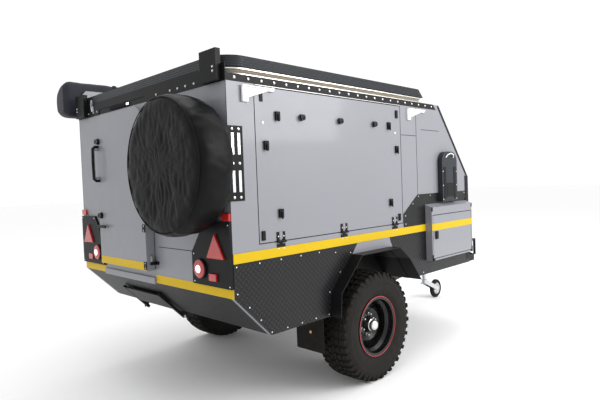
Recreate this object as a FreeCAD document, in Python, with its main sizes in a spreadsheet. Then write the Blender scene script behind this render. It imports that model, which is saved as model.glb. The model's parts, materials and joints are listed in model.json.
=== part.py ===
import FreeCAD, Part
import Sketcher
import math
import os

# Off-road caravan: a pop-top camper body on a single axle, standing on its
# two road wheels and its jockey wheel.
#
# Datum used below: x = 0 is the outer face of the rear wall and +X runs to
# the coupling, y = 0 is the centre line with +Y to the left, z = 0 is the
# ground.  Each piece is then placed so that the middle of the whole caravan's
# box stands over the origin.  Lengths in millimetres.

V = FreeCAD.Vector
doc = FreeCAD.newDocument("OffRoadCaravan")
sheet = doc.addObject("Spreadsheet::Sheet", "Sizes")

SIZES = [
    # where the datum stands in the row frame
    ("shift_x", 1973.0), ("shift_y", 37.5),
    # body shell
    ("body_half", 989.0), ("wall", 30.0), ("eaves", 2047.0), ("roof_top", 2091.0),
    ("rear_low", 833.0), ("belly", 573.0), ("slope_run", 261.0), ("sill", 668.0),
    ("nose", 2776.0), ("nose_high", 1479.0), ("crown", 2277.0),
    ("floor_top", 698.0), ("floor_start", 200.0), ("skin", 3.0),
    # wheel arch corners
    ("arch_ax", 793.0), ("arch_bx", 808.0), ("arch_bz", 735.0), ("arch_cx", 1039.0),
    ("arch_top", 958.0), ("arch_dx", 1500.0), ("arch_ex", 1632.0), ("arch_ez", 859.0),
    ("arch_fx", 1786.0), ("house_in", 730.0), ("flare_out", 1080.0), ("sheet_t", 6.0),
    # side hatch
    ("hatch_rear", 200.0), ("hatch_front", 1682.0), ("hatch_low", 1125.0), ("hatch_high", 2035.0),
    ("gap", 6.0), ("pin_off", 9.0), ("leaf", 4.0),
    # rear door
    ("door_right", 142.0), ("door_left", 545.0), ("door_low", 922.0), ("door_high", 2020.0),
    ("door_proud", 65.0), ("door_seal", 5.0), ("door_round", 90.0), ("door_lap", 40.0),
    # pop-top
    ("lid_low", 2142.0), ("lid_high", 2206.0), ("lid_half", 963.0), ("lid_back", 6.0),
    ("lid_nose", 2078.0), ("lid_nose_top", 2009.0), ("lid_round", 150.0), ("bellows_top", 2136.0),
    # running gear
    ("axle_x", 1277.0), ("tyre_r", 400.0), ("tyre_half", 132.5), ("wheel_y", 899.5),
    ("spindle_r", 22.0), ("rim_flange_r", 220.0), ("rim_seat_r", 203.0),
    # chassis
    ("rail_in", 400.0), ("rail_out", 450.0), ("rail_low", 593.0), ("beam_low", 493.0),
    ("beam_end", 4080.0), ("ball_r", 25.4),
    # spare wheel
    ("spare_y", 711.0), ("spare_z", 1590.0), ("spare_r", 409.0), ("spare_out", 276.0), ("spare_in", 19.0),
    # jockey wheel
    ("jockey_x", 3600.0), ("jockey_axle_x", 3850.0), ("jockey_r", 109.0),
    # side locker
    ("locker_rear", 2014.0), ("locker_front", 2720.0), ("locker_out", 1052.0),
    ("locker_low", 780.0), ("locker_high", 1250.0),
    # awning
    ("bag_in", 991.0), ("bag_out", 1195.0), ("bag_low", 2066.0), ("bag_high", 2375.0),
]


class Dim:
    """A length kept in the sheet: its value now and the expression that follows the sheet."""

    def __init__(self, value, text):
        self.value = float(value)
        self.text = text

    def __add__(self, other):
        return Dim(self.value + num(other), "(%s + %s)" % (self.text, txt(other)))

    def __radd__(self, other):
        return Dim(num(other) + self.value, "(%s + %s)" % (txt(other), self.text))

    def __sub__(self, other):
        return Dim(self.value - num(other), "(%s - %s)" % (self.text, txt(other)))

    def __rsub__(self, other):
        return Dim(num(other) - self.value, "(%s - %s)" % (txt(other), self.text))

    def __mul__(self, other):
        return Dim(self.value * num(other), "(%s * %s)" % (self.text, txt(other)))

    def __rmul__(self, other):
        return Dim(num(other) * self.value, "(%s * %s)" % (txt(other), self.text))

    def __neg__(self):
        return Dim(-self.value, "(0 - %s)" % self.text)


def num(value):
    return value.value if isinstance(value, Dim) else float(value)


def txt(value):
    return value.text if isinstance(value, Dim) else repr(round(float(value), 6))


class Sizes:
    pass


S = Sizes()
for row, (name, value) in enumerate(SIZES, start=1):
    sheet.set("A%d" % row, name)
    sheet.set("B%d" % row, repr(value))
    sheet.setAlias("B%d" % row, name)
    setattr(S, name, Dim(value, "Sizes." + name))
doc.recompute()

NODES = []
CUTS = []


def place(obj, x=0.0, y=0.0, z=0.0, turn=0.0):
    """Put a piece where it belongs, in the row frame."""
    px, py, pz = x - S.shift_x, y - S.shift_y, z
    obj.Placement = FreeCAD.Placement(V(num(px), num(py), num(pz)), FreeCAD.Rotation(V(0, 0, 1), turn))
    obj.setExpression("Placement.Base.x", txt(px))
    obj.setExpression("Placement.Base.y", txt(py))
    if isinstance(pz, Dim):
        obj.setExpression("Placement.Base.z", txt(pz))


def new_body(label, x=0.0, y=0.0, z=0.0, turn=0.0):
    body = doc.addObject("PartDesign::Body", label)
    body.Label = label
    if hasattr(body, "AllowCompound"):
        body.AllowCompound = True
    place(body, x, y, z, turn)
    NODES.append(body)
    return body


def plane(body, role):
    for item in body.Origin.OriginFeatures:
        if item.Role == role:
            return item
    raise ValueError(role)


def bind(obj, prop, value):
    if isinstance(value, Dim):
        obj.setExpression(prop, value.text)


def sketch(body, role, offset, loops=(), circles=()):
    """A sketch on one of the body's own planes, pinned corner by corner to the datum."""
    sk = body.newObject("Sketcher::SketchObject", body.Label + "_sketch")
    sk.AttachmentSupport = [(plane(body, role), "")]
    sk.MapMode = "FlatFace"
    sk.AttachmentOffset = FreeCAD.Placement(V(0, 0, num(offset)), FreeCAD.Rotation())
    bind(sk, "AttachmentOffset.Base.z", offset)
    geo, con, exprs = [], [], []
    for loop in loops:
        start = len(geo)
        n = len(loop)
        pts = [V(num(u), num(v), 0) for u, v in loop]
        for i in range(n):
            geo.append(Part.LineSegment(pts[i], pts[(i + 1) % n]))
        for i in range(n):
            con.append(Sketcher.Constraint("Coincident", start + i, 2, start + (i + 1) % n, 1))
        for i, (u, v) in enumerate(loop):
            for kind, value in (("DistanceX", u), ("DistanceY", v)):
                con.append(Sketcher.Constraint(kind, -1, 1, start + i, 1, num(value)))
                if isinstance(value, Dim):
                    exprs.append((len(con) - 1, value.text))
    for u, v, r in circles:
        k = len(geo)
        geo.append(Part.Circle(V(num(u), num(v), 0), V(0, 0, 1), num(r)))
        for kind, value in (("DistanceX", u), ("DistanceY", v)):
            con.append(Sketcher.Constraint(kind, -1, 1, k, 3, num(value)))
            if isinstance(value, Dim):
                exprs.append((len(con) - 1, value.text))
        con.append(Sketcher.Constraint("Radius", k, num(r)))
        if isinstance(r, Dim):
            exprs.append((len(con) - 1, r.text))
    sk.addGeometry(geo, False)
    sk.addConstraint(con)
    for index, text in exprs:
        sk.setExpression("Constraints[%d]" % index, text)
    return sk


ROLE = {"x": "YZ_Plane", "y": "XZ_Plane", "z": "XY_Plane"}


def pad(body, axis, lo, hi, loops=(), circles=()):
    """Material between lo and hi along an axis, inside the drawn outline.
    Along x the outline is (y, z), along y it is (x, z), along z it is (x, y)."""
    start = (0 - hi) if axis == "y" else lo
    sk = sketch(body, ROLE[axis], start, loops, circles)
    feat = body.newObject("PartDesign::Pad", body.Label + "_pad")
    feat.Profile = sk
    feat.Length = num(hi) - num(lo)
    if isinstance(hi, Dim) or isinstance(lo, Dim):
        feat.setExpression("Length", "%s - %s" % (txt(hi), txt(lo)))
    body.Tip = feat
    return feat


def cut(body, axis, lo, hi, loops=(), circles=()):
    """Remove what lies between lo and hi along an axis, inside the drawn outline."""
    start = (0 - lo) if axis == "y" else hi
    sk = sketch(body, ROLE[axis], start, loops, circles)
    before = body.Tip
    feat = body.newObject("PartDesign::Pocket", body.Label + "_pocket")
    feat.Profile = sk
    feat.Length = num(hi) - num(lo)
    if isinstance(hi, Dim) or isinstance(lo, Dim):
        feat.setExpression("Length", "%s - %s" % (txt(hi), txt(lo)))
    body.Tip = feat
    CUTS.append((body, before, feat))
    return feat


def revolve(body, loops):
    """Turn a profile drawn as (y, radius) round the body's own y axis."""
    sk = sketch(body, "YZ_Plane", 0.0, loops)
    feat = body.newObject("PartDesign::Revolution", body.Label + "_turned")
    feat.Profile = sk
    feat.ReferenceAxis = (sk, ["H_Axis"])
    feat.Angle = 360.0
    body.Tip = feat
    return feat


def soften(body, radius, pick):
    """Round the edges of the piece so far whose two ends both satisfy pick(x, y, z)."""
    doc.recompute()
    base = body.Tip
    names = []
    for i, edge in enumerate(base.Shape.Edges, start=1):
        ends = [vert.Point for vert in edge.Vertexes]
        if len(ends) == 2 and pick(ends[0], ends[1]):
            names.append("Edge%d" % i)
    feat = body.newObject("PartDesign::Fillet", body.Label + "_round")
    feat.Base = (base, names)
    feat.Radius = num(radius)
    bind(feat, "Radius", radius)
    body.Tip = feat
    return feat


def box(x0, x1, z0, z1):
    return [(x0, z0), (x1, z0), (x1, z1), (x0, z1)]


def along(axis):
    """True for an edge that runs along one axis."""
    k = "xyz".index(axis)

    def test(a, b):
        d = b - a
        return all(abs(d[i]) < 0.01 for i in range(3) if i != k) and abs(d[k]) > 0.01
    return test


def both_sides(lo, hi):
    """The same span on the right (negative y) and on the left."""
    return ((0 - hi, 0 - lo), (lo, hi))


inner = S.body_half - S.wall
# the sloping nose panel: a point s along it from its foot and n out from its face
DX, DZ = (2277.0 - 2776.0), (2091.0 - 1479.0)
DL = math.hypot(DX, DZ)


def nose_point(along_mm, out_mm):
    return (2776.0 + DX / DL * along_mm + DZ / DL * out_mm,
            1479.0 + DZ / DL * along_mm - DX / DL * out_mm)


# ---------------------------------------------------------------- body shell
ARCH = [(S.arch_ax, S.belly), (S.arch_bx, S.arch_bz), (S.arch_cx, S.arch_top),
        (S.arch_dx, S.arch_top), (S.arch_ex, S.arch_ez), (S.arch_fx, S.sill)]
crown_low = S.crown - 41.0
crown_in = S.crown - 85.0
for side in (0, 1):
    lo, hi = both_sides(inner, S.body_half)[side]
    wall = new_body(("side_wall_right", "side_wall_left")[side])
    outline = [(0.0, S.rear_low), (S.slope_run, S.belly)] + ARCH + [
        (S.nose, S.sill), (S.nose, S.nose_high), (S.crown, S.roof_top),
        (crown_in, S.roof_top), (crown_low, S.eaves), (0.0, S.eaves)]
    pad(wall, "y", lo, hi, [outline])
    cut(wall, "y", lo - 5, hi + 5, [box(S.hatch_rear - S.gap, S.hatch_front + S.gap,
                                       S.hatch_low - S.gap, S.hatch_high + S.gap)])

rear = new_body("rear_wall")
pad(rear, "x", 0.0, S.wall, [box(0 - inner, inner, S.rear_low, S.eaves)])
cut(rear, "x", -5.0, S.wall + 5, [box(0 - (S.door_right - S.door_lap), S.door_left - S.door_lap,
                                     S.door_low + S.door_lap, S.door_high - S.door_lap)])
# sill lip under the door and the lamp header over it
pad(rear, "x", -14.0, 0.0, [box(0 - S.door_right, 610.0, 826.0, 869.0)])

front = new_body("front_wall")
pad(front, "x", S.nose - S.wall, S.nose, [box(0 - inner, inner, S.sill, 1460.0)])

slope = new_body("front_slope")
a, b = nose_point(0, -30.0), nose_point(0, 0)
top_in = nose_point((2047.0 - a[1]) * DL / DZ, -30.0)
pad(slope, "y", 0 - inner, inner, [[(S.nose, S.nose_high), (S.crown, S.roof_top), (crown_in, S.roof_top),
                                    (crown_low, S.eaves), top_in, a, (S.nose, 1460.0)]])
WIN0, WIN1 = 170.0, 590.0
cut(slope, "y", -600.0, 600.0, [[nose_point(WIN0, 5), nose_point(WIN1, 5), nose_point(WIN1, -35), nose_point(WIN0, -35)]])

window = new_body("front_window")
pad(window, "y", -600.0, 600.0, [[nose_point(WIN0, -12), nose_point(WIN1, -12), nose_point(WIN1, -18), nose_point(WIN0, -18)]])

floor = new_body("floor_panel")
pad(floor, "z", S.sill, S.floor_top, [[
    (S.floor_start, 0 - inner), (S.arch_ax, 0 - inner), (S.arch_ax, 0 - S.house_in), (S.arch_fx, 0 - S.house_in),
    (S.arch_fx, 0 - inner), (S.nose - S.wall, 0 - inner), (S.nose - S.wall, inner), (S.arch_fx, inner),
    (S.arch_fx, S.house_in), (S.arch_ax, S.house_in), (S.arch_ax, inner), (S.floor_start, inner)]])

pan = new_body("belly_pan")
pad(pan, "y", 0 - inner, inner, [[(0.0, S.rear_low), (S.slope_run, S.belly), (S.arch_ax, S.belly), (S.arch_ax, S.belly + 20),
                                  (269.3, S.belly + 20), (28.3, S.rear_low)]])

house = new_body("wheel_housings")
INSIDE = [(S.arch_ax + 10, S.rail_low), (S.arch_bx + 9, S.arch_bz - 4), (S.arch_cx + 5, S.arch_top - 10),
          (S.arch_dx - 4, S.arch_top - 10), (S.arch_ex - 8, S.arch_ez - 7), (S.arch_fx - 12, S.sill)]
OUTSIDE = [(S.arch_ax + 1.9, S.rail_low)] + ARCH[1:]
for lo, hi in both_sides(S.house_in + 10, inner):
    pad(house, "y", lo, hi, [OUTSIDE + INSIDE[::-1]])
for lo, hi in both_sides(S.house_in, S.house_in + 10):
    pad(house, "y", lo, hi, [OUTSIDE])

flare = new_body("arch_flares")
LIP = [(S.arch_ax + 6, S.belly), (S.arch_bx + 5.5, S.arch_bz - 2.4), (S.arch_cx + 2.4, S.arch_top - 6),
       (S.arch_dx - 2, S.arch_top - 6), (S.arch_ex - 4.5, S.arch_ez - 4), (S.arch_fx - 7.7, S.sill)]
for lo, hi in both_sides(inner, S.flare_out):
    pad(flare, "y", lo, hi, [ARCH + LIP[::-1]])

skirt = new_body("skirt_plates")
REAR_SKIRT = [(0.0, S.rear_low), (S.slope_run, S.belly)] + ARCH[:3] + [(1100.0, 1030.0), (0.0, 1030.0)]
FRONT_SKIRT = [(1496.0, 1030.0), (1545.0, 924.25), (S.arch_ex, S.arch_ez), (S.arch_fx, S.sill), (2772.0, S.sill),
               (2772.0, 1338.0), (1906.0, 1338.0), (1693.0, 1191.0), (1693.0, 1030.0)]
for lo, hi in both_sides(S.body_half, S.body_half + S.skin):
    pad(skirt, "y", lo, hi, [REAR_SKIRT])
    pad(skirt, "y", lo, hi, [FRONT_SKIRT])

# ---------------------------------------------------------------- roof
roof = new_body("roof_frame")
pad(roof, "y", 0 - S.body_half, S.body_half, [[(0.0, S.eaves), (crown_low, S.eaves), (crown_in, S.roof_top), (0.0, S.roof_top)]])
cut(roof, "z", S.eaves - 5, S.roof_top + 5, [[(100.0, -870.0), (1960.0, -870.0), (1960.0, 870.0), (100.0, 870.0)]])

flange = new_body("rear_flange")
pad(flange, "x", -4.0, 0.0, [[(0 - S.body_half, S.eaves), (-120.0, S.eaves), (-105.0, 2086.0), (595.0, 2086.0), (610.0, S.eaves),
                              (S.body_half, S.eaves), (S.body_half, 2145.0), (0 - S.body_half, 2145.0)]])
for lo, hi in both_sides(800.0, 955.0):
    pad(flange, "x", -38.0, -4.0, [box(lo, hi, 2050.0, 2226.0)])

bellows = new_body("canvas_bellows")
pad(bellows, "z", S.roof_top, S.bellows_top, [[(14.0, -955.0), (2052.0, -955.0), (2052.0, 955.0), (14.0, 955.0)]])
cut(bellows, "z", S.roof_top - 5, S.bellows_top + 5, [[(42.0, -927.0), (2022.0, -927.0), (2022.0, 927.0), (42.0, 927.0)]])

lid = new_body("roof_lid")
pad(lid, "y", 0 - S.lid_half, S.lid_half, [[(S.lid_back, S.lid_low), (S.lid_nose, S.lid_low), (S.lid_nose_top, S.lid_high), (S.lid_back, S.lid_high)]])
cut(lid, "z", S.lid_low - 5, S.lid_high - 24, [[(130.0, -930.0), (2000.0, -930.0), (2000.0, 930.0), (130.0, 930.0), (40.0, 840.0), (40.0, -840.0)]])
soften(lid, S.lid_round, lambda p, q: along("z")(p, q) and p.x < 7 and q.x < 7)

# ---------------------------------------------------------------- rear door
door = new_body("rear_door")
pad(door, "x", 0 - S.door_proud, 0 - S.door_seal, [box(0 - S.door_right, S.door_left, S.door_low, S.door_high)])
soften(door, S.door_round, lambda p, q: along("x")(p, q) and p.z > 2000)
# knuckles that turn with the door
HINGE_X, HINGE_Y = -35.0, -154.0
for z0 in (960.0, 1210.0, 1800.0):
    pad(door, "z", z0 + 22, z0 + 60, circles=[(HINGE_X, HINGE_Y, 9.0)])
    pad(door, "z", z0 + 24, z0 + 58, [[(HINGE_X - 4, HINGE_Y), (HINGE_X + 4, HINGE_Y), (HINGE_X + 4, -140.0), (HINGE_X - 4, -140.0)]])
# pull handle across the door, grab handle and lock knobs down its free edge
pad(door, "x", -96.0, -88.0, [box(395.0, 525.0, 1192.0, 1208.0)])
for y0 in (400.0, 508.0):
    pad(door, "x", -88.0, 0 - S.door_proud, [box(y0, y0 + 12, 1193.0, 1207.0)])
pad(door, "x", -112.0, -98.0, [box(500.0, 518.0, 1550.0, 1780.0)])
for z0 in (1552.0, 1762.0):
    pad(door, "x", -98.0, 0 - S.door_proud, [box(502.0, 516.0, z0, z0 + 16)])
for z0 in (1280.0, 1830.0):
    pad(door, "x", -90.0, 0 - S.door_proud, circles=[(505.0, z0, 20.0)])

door_hinge = new_body("door_hinges")
for z0 in (960.0, 1210.0, 1800.0):
    pad(door_hinge, "z", z0, z0 + 21, circles=[(HINGE_X, HINGE_Y, 9.0)])
    pad(door_hinge, "z", z0, z0 + 21, [[(HINGE_X - 6, -163.0), (0.0, -163.0), (0.0, -190.0), (-6.0, -190.0), (-6.0, -169.0), (HINGE_X - 6, -169.0)]])
    pad(door_hinge, "z", z0, z0 + 21, [[(HINGE_X - 6, -166.0), (HINGE_X - 6, -155.0), (HINGE_X + 4, -155.0), (HINGE_X + 4, -166.0)]])

# ---------------------------------------------------------------- side hatches
hinge_z = S.hatch_low - 4
hinge_out = S.body_half + S.pin_off
for side in (0, 1):
    lo, hi = both_sides(inner, S.body_half)[side]
    hatch = new_body(("hatch_right", "hatch_left")[side])
    sgn = (-1, 1)[side]
    pad(hatch, "y", lo, hi, [box(S.hatch_rear, S.hatch_front, S.hatch_low, S.hatch_high)])
    yc = hinge_out * sgn
    for xc in (366.0, 960.0, 1570.0):
        # moving leaf and its two outer knuckles
        l0, l1 = both_sides(S.body_half, S.body_half + S.leaf)[side]
        pad(hatch, "y", l0, l1, [box(xc - 34, xc + 34, S.hatch_low + 12, 1178.0)])
        for x0, x1 in ((xc - 34, xc - 13), (xc + 13, xc + 34)):
            pad(hatch, "x", x0, x1, circles=[(yc, hinge_z, 7.0)])
            w0, w1 = (yc - 2, yc + 2)
            k0, k1 = both_sides(S.body_half + 0.0, S.body_half + S.leaf)[side]
            pad(hatch, "x", x0, x1, [[(k0, hinge_z + 2), (k1, hinge_z + 2), (k1, S.hatch_low + 14), (k0, S.hatch_low + 14)]])
    # screw knobs along the top
    k0, k1 = both_sides(S.body_half, S.body_half + 26)[side]
    pad(hatch, "y", k0, k1, circles=[(577.0, 1877.0, 19.0), (949.0, 1877.0, 19.0), (1336.0, 1877.0, 19.0)])
    # wing latches, compression latches
    k0, k1 = both_sides(S.body_half, S.body_half + 14)[side]
    for xl, zl in ((371.0, 1874.0), (1523.0, 1875.0), (372.0, 1290.0), (1523.0, 1294.0), (272.0, 1696.0), (1620.0, 1698.0)):
        pad(hatch, "y", k0, k1, [box(xl - 17, xl + 17, zl - 26, zl + 26)])
    # folding triangle bracket carried on the hatch's rear top corner
    k0, k1 = both_sides(S.body_half + 0.0, S.body_half + 5)[side]
    pad(hatch, "y", k0, k1, [box(205.0, 344.0, 2010.0, 2031.0)])
    k0, k1 = both_sides(S.body_half + 5, S.body_half + 12)[side]
    pad(hatch, "y", k0, k1, [[(102.0, 1940.0), (147.0, 1940.0), (147.0, 1962.0), (300.0, 2012.0), (344.0, 2012.0), (344.0, 2031.0), (102.0, 2031.0)]])
    cut(hatch, "y", k0 - 0.0, k1 + 0.0, [[(158.0, 1984.0), (240.0, 2010.0), (158.0, 2010.0)]])

leafs = new_body("hatch_hinges")
for side in (0, 1):
    sgn = (-1, 1)[side]
    yc = hinge_out * sgn
    for xc in (366.0, 960.0, 1570.0):
        pad(leafs, "x", xc - 12, xc + 12, circles=[(yc, hinge_z, 7.0)])
        k0, k1 = both_sides(S.body_half, S.body_half + S.leaf)[side]
        pad(leafs, "y", k0, k1, [box(xc - 34, xc + 34, 1062.0, 1106.0)])
        pad(leafs, "y", k0, k1, [box(xc - 12, xc + 12, 1106.0, 1118.5)])

# ---------------------------------------------------------------- nose guard and its gas struts
H_S, H_N = 738.0, 20.0
guard = new_body("stone_guard")
pad(guard, "y", -720.0, 720.0, [[nose_point(60, 8), nose_point(730, 8), nose_point(730, 28), nose_point(60, 28)]])
hx, hz = nose_point(H_S, H_N)
for y0, y1 in ((-600.0, -540.0), (540.0, 600.0)):
    pad(guard, "y", y0, y1, circles=[(hx, hz, 7.0)])
    pad(guard, "y", y0, y1, [[nose_point(728, 15), nose_point(738, 15), nose_point(738, 25), nose_point(728, 25)]])
ex, ez = nose_point(480, 18)
for y0, y1 in ((-740.0, -720.0), (720.0, 740.0)):
    pad(guard, "y", y0, y1, circles=[(ex, ez, 6.0)])

guard_fix = new_body("guard_hinges")
for y0, y1 in ((-634.0, -601.0), (601.0, 634.0)):
    pad(guard_fix, "y", y0, y1, circles=[(hx, hz, 7.0)])
    pad(guard_fix, "y", y0, y1, [[nose_point(736, 0), nose_point(785, 0), nose_point(785, 6), nose_point(745, 6), nose_point(741, 18), nose_point(734, 16)]])
bx, bz = nose_point(250, 25)
for y0, y1 in ((-764.0, -726.0), (726.0, 764.0)):
    # strut foot on the nose, clear of the strut's eye
    pad(guard_fix, "y", y0 + 0.0, y1 + 0.0, [[nose_point(236, 0), nose_point(264, 0), nose_point(264, 13), nose_point(236, 13)]])
for y0, y1 in ((-759.0, -753.0), (753.0, 759.0)):
    pad(guard_fix, "y", y0, y1, circles=[(bx, bz, 3.0)])
for y0, y1 in ((-764.0, -759.0), (759.0, 764.0)):
    pad(guard_fix, "y", y0, y1, [[nose_point(236, 0), nose_point(264, 0), nose_point(264, 34), nose_point(236, 34)]])

E_LEN = math.hypot(ex - bx, ez - bz)
ux, uz = (ex - bx) / E_LEN, (ez - bz) / E_LEN


def strut_point(t, n):
    return (bx + ux * t - uz * n, bz + uz * t + ux * n)


barrel = new_body("strut_barrels")
for y0, y1 in ((-753.0, -745.0), (745.0, 753.0)):
    pad(barrel, "y", y0, y1, circles=[(bx, bz, 8.0)])
rod = new_body("strut_rods")
for yc in (-749.0, 749.0):
    pad(barrel, "y", yc - 8.0, yc + 8.0, [[strut_point(7, -8), strut_point(200, -8), strut_point(200, 8), strut_point(7, 8)]])
    cut(barrel, "y", yc - 4.5, yc + 4.5, [[strut_point(14, -4.5), strut_point(205, -4.5), strut_point(205, 4.5), strut_point(14, 4.5)]])
    pad(rod, "y", yc - 3.0, yc + 3.0, [[strut_point(16, -3), strut_point(E_LEN - 6, -3), strut_point(E_LEN - 6, 3), strut_point(16, 3)]])
    pad(rod, "y", yc - 4.0, yc + 4.0, circles=[(ex, ez, 8.0)])

# ---------------------------------------------------------------- lockers on the sides of the nose
locker = new_body("side_lockers")
for side in (0, 1):
    sgn = (-1, 1)[side]
    out, back = S.locker_out * sgn, (S.body_half + S.skin) * sgn
    pad(locker, "x", S.locker_rear, S.locker_front, [[(back, S.locker_low), (out, S.locker_low), (out, S.locker_high - 26), (back, S.locker_high)]])
    lo, hi = both_sides(S.body_half + S.skin + 6, S.locker_out + 5)[side]
    cut(locker, "y", lo, hi, [box(S.locker_rear + 14, S.locker_front - 14, S.locker_low + 14, 1161.0)])
for side in (0, 1):
    sgn = (-1, 1)[side]
    ld = new_body(("locker_door_right", "locker_door_left")[side])
    lo, hi = both_sides(S.locker_out - 22, S.locker_out)[side]
    pad(ld, "y", lo, hi, [box(S.locker_rear + 20, S.locker_front - 20, S.locker_low + 20, 1155.0)])
    lo, hi = both_sides(S.locker_out, S.locker_out + 12)[side]
    pad(ld, "y", lo, hi, [box(2060.0, 2096.0, 960.0, 1022.0)])

heater = new_body("heater_case")
pad(heater, "y", -1034.0, -992.0, [box(2238.0, 2496.0, 1262.0, 1692.0)])
soften(heater, 90.0, lambda p, q: along("y")(p, q) and p.z > 1600)

# ---------------------------------------------------------------- rear lamps
panels = new_body("tail_light_panels")
for sgn in (-1, 1):
    pad(panels, "x", -18.0, 0.0, [[(S.body_half * sgn, 1265.0), (747.0 * sgn, 1265.0), (610.0 * sgn, 1080.0), (610.0 * sgn, 890.0), (S.body_half * sgn, 890.0)]])
lamps = new_body("tail_lamps")
for sgn in (-1, 1):
    pad(lamps, "x", -30.0, -18.0, [[(776.0 * sgn, 1056.0), (940.0 * sgn, 1056.0), (858.0 * sgn, 1196.0)]])
    pad(lamps, "x", -34.0, -18.0, circles=[(701.0 * sgn, 985.0, 54.0)])
    pad(lamps, "x", -30.0, -18.0, [box(792.0 * sgn, 860.0 * sgn, 925.0, 965.0)])
    pad(lamps, "x", -16.0, 0.0, [box(915.0 * sgn, 985.0 * sgn, 1272.0, 1314.0)])

# ---------------------------------------------------------------- awning on the left, brackets on the walls
mount = new_body("awning_mount")
pad(mount, "y", 972.0, 978.0, [[(24.0, S.roof_top), (2180.0, S.roof_top), (2180.0, 2250.0), (2140.0, 2290.0), (60.0, 2290.0), (24.0, 2250.0)]])
bag = new_body("awning_bag")
pad(bag, "x", -110.0, 2240.0, [[(S.bag_in, S.bag_low + 30), (S.bag_in + 30, S.bag_low), (S.bag_out - 50, S.bag_low), (S.bag_out, S.bag_low + 60),
                                (S.bag_out, S.bag_high - 90), (S.bag_out - 90, S.bag_high - 20), (S.bag_in + 30, S.bag_high), (S.bag_in, S.bag_high - 30)]])
brackets = new_body("wall_brackets")
for side in (0, 1):
    k0, k1 = both_sides(S.body_half, S.body_half + 12)[side]
    pad(brackets, "y", k0, k1, [[(1780.0, 1938.0), (1825.0, 1938.0), (1825.0, 1960.0), (1980.0, 2010.0), (2030.0, 2010.0), (2030.0, 2029.0), (1780.0, 2029.0)]])

# ---------------------------------------------------------------- spare wheel
carrier = new_body("spare_carrier")
pad(carrier, "z", 1380.0, 1800.0, [[(100.0, -993.0), (100.0, -989.0), (0.0, -989.0), (0.0, -500.0), (0 - S.spare_in, -500.0), (0 - S.spare_in, -993.0)]])
spare = new_body("spare_wheel")
pad(spare, "x", 0 - S.spare_out, 0 - S.spare_in, circles=[(0 - S.spare_y, S.spare_z, S.spare_r)])
doc.recompute()
base = spare.Tip
names = ["Edge%d" % i for i, e in enumerate(base.Shape.Edges, start=1) if len(e.Vertexes) == 1]
rnd = spare.newObject("PartDesign::Fillet", "spare_round")
rnd.Base = (base, names)
rnd.Radius = 55.0
spare.Tip = rnd

# ---------------------------------------------------------------- chassis
rails = new_body("chassis_rails")
pad(rails, "z", S.rail_low, S.sill, [[(275.0, lo), (S.nose - S.wall, lo), (S.nose - S.wall, hi), (275.0, hi)] for lo, hi in both_sides(S.rail_in, S.rail_out)])
cross = new_body("crossmembers")
pad(cross, "z", S.rail_low + 12, S.sill, [[(x0, 0 - S.rail_in), (x0 + 50, 0 - S.rail_in), (x0 + 50, S.rail_in), (x0, S.rail_in)] for x0 in (300.0, 800.0, 1250.0, 1750.0, 2300.0, 2690.0)])
beams = new_body("drawbar_beams")
for sgn in (-1, 1):
    pad(beams, "z", S.beam_low, S.rail_low, [[(2250.0, 395.0 * sgn), (2250.0, 455.0 * sgn), (S.beam_end, 62.0 * sgn), (S.beam_end, 4.0 * sgn)]])
plate = new_body("drawbar_plate")
pad(plate, "z", S.rail_low, S.rail_low + 8, [[(3400.0, -190.0), (4080.0, -62.0), (4080.0, 62.0), (3400.0, 190.0)]], circles=[(S.jockey_x, 0.0, 31.0)])
head = new_body("coupling_head")
pad(head, "z", S.beam_low + 10, S.rail_low - 5, [[(S.beam_end, -50.0), (4195.0, -50.0), (4222.0, -30.0), (4222.0, 30.0), (4195.0, 50.0), (S.beam_end, 50.0)]])
cut(head, "z", S.beam_low + 5, S.beam_low + 50, circles=[(4178.0, 0.0, S.ball_r)])
pad(head, "z", S.rail_low - 5, S.rail_low + 60, [box(4100.0, 4140.0, -12.0, 12.0)])

# ---------------------------------------------------------------- axle, springs and wheels
axle = new_body("axle_beam")
pad(axle, "y", -650.0, 650.0, [box(S.axle_x - 30, S.axle_x + 30, S.tyre_r - 30, S.tyre_r + 30)])
for lo, hi in both_sides(650.0, 948.0):
    pad(axle, "y", lo, hi, circles=[(S.axle_x, S.tyre_r, S.spindle_r)])
for lo, hi in both_sides(650.0, 668.0):
    pad(axle, "y", lo, hi, circles=[(S.axle_x, S.tyre_r, 120.0)])

springs = new_body("leaf_springs")
TOPS = [(-455.0, 556.0), (-300.0, 512.0), (-150.0, 480.0), (-45.0, 466.0), (45.0, 466.0), (150.0, 480.0), (300.0, 512.0), (455.0, 556.0)]
LOWS = [(455.0, 536.0), (300.0, 488.0), (150.0, 448.0), (45.0, 430.0), (-45.0, 430.0), (-150.0, 448.0), (-300.0, 488.0), (-455.0, 536.0)]
for lo, hi in both_sides(395.0, 455.0):
    pad(springs, "y", lo, hi, [[(S.axle_x + u, v) for u, v in TOPS + LOWS]])
    for u in (-455.0, 425.0):
        pad(springs, "y", lo, hi, [box(S.axle_x + u, S.axle_x + u + 30, 540.0, S.rail_low)])

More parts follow.
